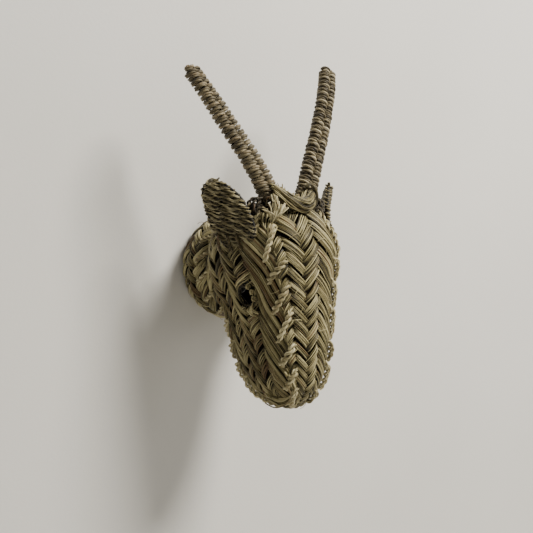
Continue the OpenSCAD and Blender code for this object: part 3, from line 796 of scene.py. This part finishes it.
# Horns: two rods side by side, bound in figures of eight
horns = {
    "left": [(-23, -136, 72), (-39, -129, 106), (-60, -117, 143), (-79, -104, 178), (-94, -88, 209)],
    "right": [(22, -136, 73), (37, -129, 110), (58, -117, 151), (77, -104, 192), (93, -88, 226)],
    "lean": (0.78, -0.1, -0.4), "taper": 0.84, "size": 1.22,
    "cord": 6.5, "pitch": 40, "rise": 5.5, "bound": 0.955,
    # A rod is a ring of blades round one more; past the binding they flare
    "rodOffset": 3.05, "rodBlades": 8, "rodSpread": 2.15, "rodBlade": 0.88, "flareFrom": 0.93, "flare": 0.45,
    "lashTurns": 2.3, "lashCord": 4.0, "lashPitch": 9, "lashTone": 0.3, "lashWide": 11.2, "lashDeep": 9.8,
    "knotCord": 5.4, "knotPitch": 12, "knotTone": 0.28,
    # Knotted loops below the root: middle, half length, half width, and how much each leans
    "knots": [((-36, -137, 68), 9, 5, 0.5), ((-41, -135, 62), 10, 5, -0.3), ((-44, -132, 66), 7, 5, 0.9),
              ((-39, -138, 56), 8, 4.5, 0.2), ((-45, -130, 57), 8, 5, -0.6), ((-42, -136, 50), 6, 4, 1.2),
              ((-37, -133, 60), 9, 6, 1.5)],
    # One figure of eight round the two rods: across them, out of their plane, and share of its rise
    "loop": [(-8.0, 0, 0), (-6.6, 3.6, 0.08), (-3.0, 5.0, 0.2), (-0.6, 3.5, 0.33), (0.3, 0, 0.36),
             (1.2, -3.5, 0.38), (3.5, -5.0, 0.42), (6.8, -3.5, 0.46), (8.0, 0, 0.5), (6.6, 3.6, 0.58),
             (3.0, 5.0, 0.7), (0.6, 3.5, 0.83), (-0.3, 0, 0.86), (-1.2, -3.5, 0.88), (-3.5, -5.0, 0.92),
             (-6.8, -3.5, 0.96), (-8.0, 0, 1.0)],
}


def hornFrame(shape, at):
    line = smoothLine(raised(shape), at)
    ahead, behind = smoothLine(raised(shape), at + 0.01), smoothLine(raised(shape), at - 0.01)
    t = unit(ahead - behind)
    lean = np.array(horns["lean"])
    side = unit(lean - (t @ lean)[:, None] * t)
    size = 1 + (horns["taper"] - 1) * at
    return line, side, np.cross(t, side), size


def buildHorn(name, shape, bindNode, rodNode, lashNode, hand):
    h = horns
    long = lineRun(smoothLine(raised(shape), np.linspace(0, 1, 200)))[-1]
    cycles = round(h["bound"] * long / h["rise"])
    turn = np.linspace(0, cycles, cycles * 72)
    rise = np.interp(turn % 1, np.linspace(0, 1, len(h["loop"])), [p[2] for p in h["loop"]])
    loop = smoothLine([p[:2] for p in h["loop"]], turn % 1)
    line, side, front, size = hornFrame(shape, h["bound"] * (np.floor(turn) + rise) / cycles)
    size = size * h["size"]
    wrap = line + (size * loop[:, 0])[:, None] * side + (hand * size * loop[:, 1])[:, None] * front
    wrap = evenLine(wrap, 1.5, smooth=False)
    taper = np.linspace(1, h["taper"], len(wrap)) * (1 + 0.07 * drift(np.arange(len(wrap)), 60))
    binding = looseCord(wrap, h["cord"], h["pitch"], 0.55, 4, taper)
    finishBlades(name + "Binding", binding, "horn", "horn_cord", bindNode)

    rods = []
    for direction in (-1, 1):
        for k in range(h["rodBlades"] + 1):
            at = np.linspace(0.0, 1 - uniform(0, 0.012), 30)
            line, side, front, size = hornFrame(shape, at)
            turn = 2 * math.pi * (k / h["rodBlades"] + 0.9 * at)
            off = h["rodSpread"] if k < h["rodBlades"] else 0
            size = size * (1 + h["flare"] * np.clip((at - h["flareFrom"]) / 0.06, 0, 1))
            across = size * (direction * h["rodOffset"] + off * np.cos(turn))
            points = line + across[:, None] * side + (size * off * np.sin(turn))[:, None] * front
            rods.append(blade(points, h["rodBlade"] * size, uniform(0.4, 0.8),
                              uniform() ** 2, 0.5))
    finishBlades(name + "Rods", rods, "rod", "grass_rod", rodNode)

    # Turns of cord that lash the horn's root to the bundle across the crown
    at = np.linspace(0, 1, 150)
    p = raised(shape)
    t = unit(p[1] - p[0])
    lean = np.array(h["lean"])
    side = unit(lean - (t @ lean) * t)
    front = np.cross(t, side)
    turn = 2 * math.pi * h["lashTurns"] * at
    rise = 3.0 + 7.6 * at + 0.8 * np.sin(turn * 0.5 + 1)
    loop = p[0] + rise[:, None] * t + around(turn, h["lashWide"] * side, h["lashDeep"] * front)
    lash = twistedCord(evenLine(loop, 1.1, smooth=False), h["lashCord"], h["lashPitch"], h["lashTone"])
    # Knotted loops that carry on down from it to the top of the seam
    flip = np.array([-1 if shape[0][0] > 0 else 1, 1, 1])
    a = np.linspace(0, 2 * math.pi, 40)[:, None]
    for centre, tall, wide, lie in h["knots"]:
        over = np.array([math.sin(lie), -0.25, math.cos(lie)])
        across = unit(np.cross(over, [0.35, -0.9, 0.1]))
        knot = centre + tall * np.cos(a) * over + wide * np.sin(a) * across + np.sin(2 * a) * (0, -1.5, 0)
        line = evenLine(raised(knot) * flip, 1.1, smooth=False)
        lash += twistedCord(line, h["knotCord"], h["knotPitch"], h["knotTone"])
    finishBlades(name + "Lashing", lash, "horn", "sewing_cord", lashNode)


buildHorn("leftHorn", horns["left"], "left_horn_binding", "left_horn_rods", "left_horn_lashing", 1)
buildHorn("rightHorn", horns["right"], "right_horn_binding", "right_horn_rods", "right_horn_lashing", 1)
print("horns made")

# The loose bundle across the crown, with cut ends standing up along its top
yoke = {
    "line": [(-27, -145, 80), (-17, -150, 73), (-7, -153, 67.5), (5, -153, 65.5), (15, -149, 69),
             (22, -143, 77)],
    "high": 8.4, "deep": 6.6, "blades": 84, "turns": 0.3, "fuzz": 110, "fuzzLong": (2, 6),
    # Turns of cord between the bundle and the forehead: middle, half length and half width
    "knots": [((-24, -147, 66), 7, 5), ((-17, -150, 63), 6, 5), ((-10, -152, 60), 4.5, 5),
              ((-30, -144, 70), 6, 4)],
    "knotCord": 4.6, "knotPitch": 11, "knotTone": 0.3,
    # A loop at the right horn, of two cords that each show two blades
    "loop": [(15, -146, 86), (20, -147, 89), (27, -147, 84), (30, -146, 76), (30, -143, 68), (28, -140, 62)],
    "loopBlade": 1.15,
}


def buildYoke():
    blades = []
    at = np.linspace(-0.03, 1.03, 30)
    base = smoothLine(raised(yoke["line"]), at)
    base += np.outer(np.minimum(at, 0) * 60 + np.maximum(at - 1, 0) * 60, (1, 0, 0))
    t = unit(np.gradient(base, axis=0))
    lean = np.array([0, 0.6, 0.8])
    up = unit(lean - (t @ lean)[:, None] * t)
    front = np.cross(t, up)
    for _ in range(yoke["blades"]):
        r, a = math.sqrt(uniform(0.12, 1)), uniform(0, 2 * math.pi)
        turn = a + 2 * math.pi * yoke["turns"] * (at - 0.5) + 0.12 * drift(at * 50, 30)
        loose = r + 0.06 * drift(at * 50, 40)
        points = base + loose[:, None] * around(turn, yoke["high"] * up, yoke["deep"] * front)
        blades.append(blade(points, uniform(0.6, 1.1), uniform(0.25, 0.8),
                            uniform() ** 2, 0.5 * np.cos(turn)))
    for k in range(4):
        line = evenLine(raised(yoke["loop"]) + (1.3 * (k % 2), 0.8 * (k // 2), -1.1 * (k % 2)), 1.2)
        blades.append(blade(line, yoke["loopBlade"], uniform(0.25, 0.5), uniform() ** 2, 0.3))
    a = np.linspace(0, 2 * math.pi, 40)[:, None]
    for centre, tall, wide in yoke["knots"]:
        knot = centre + tall * np.cos(a) * (0.25, -0.2, 0.95) + wide * np.sin(a) * (0.9, -0.35, -0.2)
        line = evenLine(raised(knot), 1.1, smooth=False)
        blades += twistedCord(line, yoke["knotCord"], yoke["knotPitch"], yoke["knotTone"])
    for _ in range(yoke["fuzz"]):
        i = int(chance.integers(2, 21))
        foot = base[i] + up[i] * yoke["high"] * uniform(0.5, 0.95) + front[i] * uniform(-3.5, 3.5)
        long = uniform(*yoke["fuzzLong"])
        way = up[i] * uniform(0.3, 1.1) + t[i] * chance.normal(0, 0.8) + front[i] * chance.normal(0, 0.4)
        c = np.linspace(0, 1, 6)[:, None]
        points = foot + long * (unit(way) * c + 0.3 * chance.normal(size=3) * c * c)
        blades.append(blade(points, uniform(0.35, 0.75), uniform(0.5, 0.95),
                            uniform(0.5, 1.1), 0.8))
    finishBlades("hornYoke", blades, "plait", "braided_grass", "horn_yoke")


buildYoke()

# Ends of a bundle that fan out over the left seam
forelock = {
    "root": (-32, -151, 49), "radius": (0.4, 0.75),
    # Where each tuft ends, how far its ends spread and how many blades it has
    "tufts": [((-25, -160, 65), 5.0, 34), ((-33, -157, 69), 4.6, 20), ((-43, -150, 61), 2.4, 14),
              ((-33, -153, 76), 4.0, 12)],
}


def buildForelock():
    blades = []
    root = raised(forelock["root"])
    t = np.linspace(0, 1, 14)
    for end, spread, count in forelock["tufts"]:
        tip = raised(end)
        for _ in range(count):
            foot = root + chance.normal(size=3) * (2.2, 1.0, 1.6)
            aim = tip + chance.normal(size=3) * spread * (0.55, 0.35, 0.35)
            bow = (foot + aim) / 2 + np.array([0, -4.5, 0]) + chance.normal(size=3) * 0.8
            points = smoothLine([foot, bow, aim], t * uniform(0.86, 1))
            blades.append(blade(points, uniform(*forelock["radius"]), uniform(0.35, 1.0),
                                uniform() ** 3, 0.5))
    finishBlades("forelockTuft", blades, "sewing", "sewing_cord", "forelock")


buildForelock()

# Strands that gather the ends of the plaits and curve under the muzzle
muzzle = {
    "strands": 40, "strandRadius": (0.6, 1.0), "curves": 30,
    # These come out of the left seam and curve round under the chin
    "curve": [(-27, -167, -104), (-15, -166, -121), (-12, -157, -134), (-20, -146, -139), (-31, -136, -131)],
}


def buildMuzzle():
    blades = []
    t = np.linspace(0, 1, 16)
    for _ in range(muzzle["strands"]):
        x = uniform(-1, 1)
        deep = uniform(0, 1)
        line = raised([(x * 9, -158 + 3 * deep, -129), (x * 10, -156 + 5 * deep, -139),
                       (x * 11, -148 + 3 * deep, -147.5 + 4 * deep), (x * 10, -138, -148 + 4 * deep),
                       (x * 9, -127, -142 + 3 * deep)])
        points = smoothLine(line, t) + 0.5 * drift(t * 40, 30)[:, None]
        # The last value paints shade on the strands that lie further back
        blades.append(blade(points, uniform(*muzzle["strandRadius"]), uniform(0.3, 0.85),
                            uniform() ** 2, 0.4 - deep))
    for _ in range(muzzle["curves"]):
        shift = chance.normal(size=3) * (2.0, 1.0, 2.4) + (0, -1.0, 0)
        line = raised(muzzle["curve"]) + shift + chance.normal(size=(5, 3)) * 0.7
        points = smoothLine(line, np.linspace(uniform(0, 0.25), uniform(0.75, 1), 18))
        blades.append(blade(points, uniform(*muzzle["strandRadius"]), uniform(0.35, 0.95),
                            uniform() ** 2, 0.4))
    finishBlades("muzzleGather", blades, "plait", "braided_grass", "muzzle_gather")


buildMuzzle()
print("crown and muzzle made")

# The ring that hangs on a nail, wound with cord and tied inside the collar
ring = {
    "hole": 5.0, "outer": 9.4, "thick": 4.4, "turns": 15, "cord": 1.5, "pitch": 4,
    "cores": 6, "coreSpread": 0.7, "coreRadius": 0.5, "tieAt": 4.5, "tieCord": 2.0, "tiePitch": 5,
}


def buildRing():
    r = ring
    middle, small = (r["hole"] + r["outer"]) / 2, (r["outer"] - r["hole"]) / 2
    a = np.linspace(0, 2 * math.pi, 500)
    b = a * r["turns"]
    deep = r["thick"] / 2

    def circle(a, reach, y):
        return np.stack([reach * np.cos(a), y + 0 * a, reach * np.sin(a)], axis=1)

    reach = middle + (small - r["cord"] / 2) * np.cos(b)
    line = circle(a, reach, -deep + (deep - r["cord"] / 2) * np.sin(b))
    blades = twistedCord(line, r["cord"], r["pitch"], 0.6, yarns=1)
    for k in range(r["cores"]):
        c = 2 * math.pi * k / r["cores"]
        core = circle(a[::8], middle + r["coreSpread"] * math.cos(c), -deep + r["coreSpread"] * math.sin(c))
        blades.append(blade(core, r["coreRadius"], 0.45))
    finishBlades("hangingRing", blades, "sewing", "sewing_cord", "hanging_ring")


def buildRingTies():
    top = ring["outer"] + collarShape["swell"] * math.sin(math.pi * 11 / (collarShape["long"] + 6))
    blades = []
    for x in (-ring["tieAt"], ring["tieAt"]):
        points = [(x, -ring["thick"] - 1, 4.6), (x, -ring["thick"] - 1.8, 8.4), (x, -11, top - 2)]
        blades += twistedCord(evenLine(points, 0.8), ring["tieCord"], ring["tiePitch"], 0.45, yarns=1)
    finishBlades("ringTies", blades, "sewing", "sewing_cord", "ring_ties")


buildRing()
buildRingTies()
print("hanging ring made")

# Room: a pale wall behind the head, a pale floor well below it, soft light and the camera
room = {
    "wallColour": (0.66, 0.645, 0.61), "wallSize": 2.2, "wallPlace": (0, 0.0006, 1.65),
    "floorColour": (0.62, 0.61, 0.585), "floorSize": 2.6, "floorPlace": (0, -1.6, -0.7),
    "keyPlace": (0.85, -1.55, 1.7), "keySize": 0.95, "keyPower": 130, "keyColour": (1.0, 0.96, 0.88),
    "sidePlace": (1.9, -0.9, 0.6), "sideSize": 1.4, "sidePower": 8, "sideColour": (1.0, 0.98, 0.94),
    "lampTarget": (0, -0.1, 0), "skyColour": (0.9, 0.95, 1.0), "skyPower": 0.05,
    "cameraPlace": (-0.55806, -0.86410, -0.00445), "cameraTarget": (0, -0.096, -0.0376), "lens": 58.4,
}


def paintMaterial(name, colour, seeThroughBack):
    made = bpy.data.materials.new(name)
    made.use_nodes = True
    tree = made.node_tree
    link = tree.links.new
    shader, output = tree.nodes["Principled BSDF"], tree.nodes["Material Output"]
    coords = addNode(tree, "TexCoord", (-900, 0))
    mottle = addNoise(tree, (-700, 100), 3.5)
    grain = addNoise(tree, (-700, -200), 260)
    link(coords.outputs["Object"], mottle.inputs["Vector"])
    link(coords.outputs["Object"], grain.inputs["Vector"])
    ramp = addNode(tree, "ValToRGB", (-450, 100))
    ramp.color_ramp.elements[0].position, ramp.color_ramp.elements[1].position = 0.3, 0.7
    ramp.color_ramp.elements[0].color = (*[c * 0.965 for c in colour], 1)
    ramp.color_ramp.elements[1].color = (*[c * 1.02 for c in colour], 1)
    link(mottle.outputs["Fac"], ramp.inputs["Fac"])
    link(ramp.outputs["Color"], shader.inputs["Base Color"])
    bump = addNode(tree, "Bump", (-300, -200))
    bump.inputs["Strength"].default_value = 0.12
    bump.inputs["Distance"].default_value = 0.001
    link(grain.outputs["Fac"], bump.inputs["Height"])
    link(bump.outputs["Normal"], shader.inputs["Normal"])
    shader.inputs["Roughness"].default_value = 0.85
    if seeThroughBack:                    # so that the head can be seen from behind
        side = addNode(tree, "NewGeometry", (100, 300))
        clear = addNode(tree, "BsdfTransparent", (100, -100))
        choice = addNode(tree, "MixShader", (350, 100))
        link(side.outputs["Backfacing"], choice.inputs["Fac"])
        link(shader.outputs["BSDF"], choice.inputs[1])
        link(clear.outputs["BSDF"], choice.inputs[2])
        output.location = (600, 100)
        link(choice.outputs["Shader"], output.inputs["Surface"])
    return made


def addPlane(name, size, turnOver, place, material):
    build = bmesh.new()
    bmesh.ops.create_grid(build, x_segments=8, y_segments=8, size=size)
    if turnOver:                          # stands up and faces -Y
        bmesh.ops.rotate(build, verts=build.verts, cent=(0, 0, 0), matrix=turnOver)
    bmesh.ops.translate(build, verts=build.verts, vec=place)
    mesh = bpy.data.meshes.new(name)
    build.to_mesh(mesh)
    build.free()
    made = placed(name, mesh, material)


wallPaint = paintMaterial("wallPaint", room["wallColour"], True)
floorPaint = paintMaterial("floorPaint", room["floorColour"], False)
addPlane("wall", room["wallSize"], Matrix.Rotation(math.radians(90), 3, "X"), room["wallPlace"], wallPaint)
addPlane("floor", room["floorSize"], None, room["floorPlace"], floorPaint)


def lookingAt(target, place):
    return (Vector(target) - Vector(place)).to_track_quat("-Z", "Y").to_euler()


def addLamp(name, place, size, power, colour):
    lamp = bpy.data.lights.new(name, "AREA")
    lamp.shape, lamp.size, lamp.energy, lamp.color = "DISK", size, power, colour
    made = bpy.data.objects.new(name, lamp)
    made.location = place
    made.rotation_euler = lookingAt(room["lampTarget"], place)
    bpy.context.collection.objects.link(made)


addLamp("keyLight", room["keyPlace"], room["keySize"], room["keyPower"], room["keyColour"])
addLamp("sideLight", room["sidePlace"], room["sideSize"], room["sidePower"], room["sideColour"])
world = bpy.data.worlds.new("sky")
world.use_nodes = True
world.node_tree.nodes["Background"].inputs["Color"].default_value = (*room["skyColour"], 1)
world.node_tree.nodes["Background"].inputs["Strength"].default_value = room["skyPower"]
bpy.context.scene.world = world

lens = bpy.data.cameras.new("camera")
lens.lens, lens.sensor_width, lens.clip_start, lens.clip_end = room["lens"], 36, 0.02, 20
camera = bpy.data.objects.new("camera", lens)
camera.location = room["cameraPlace"]
camera.rotation_euler = lookingAt(room["cameraTarget"], room["cameraPlace"])
bpy.context.collection.objects.link(camera)
bpy.context.scene.camera = camera
print("room, light and camera made")
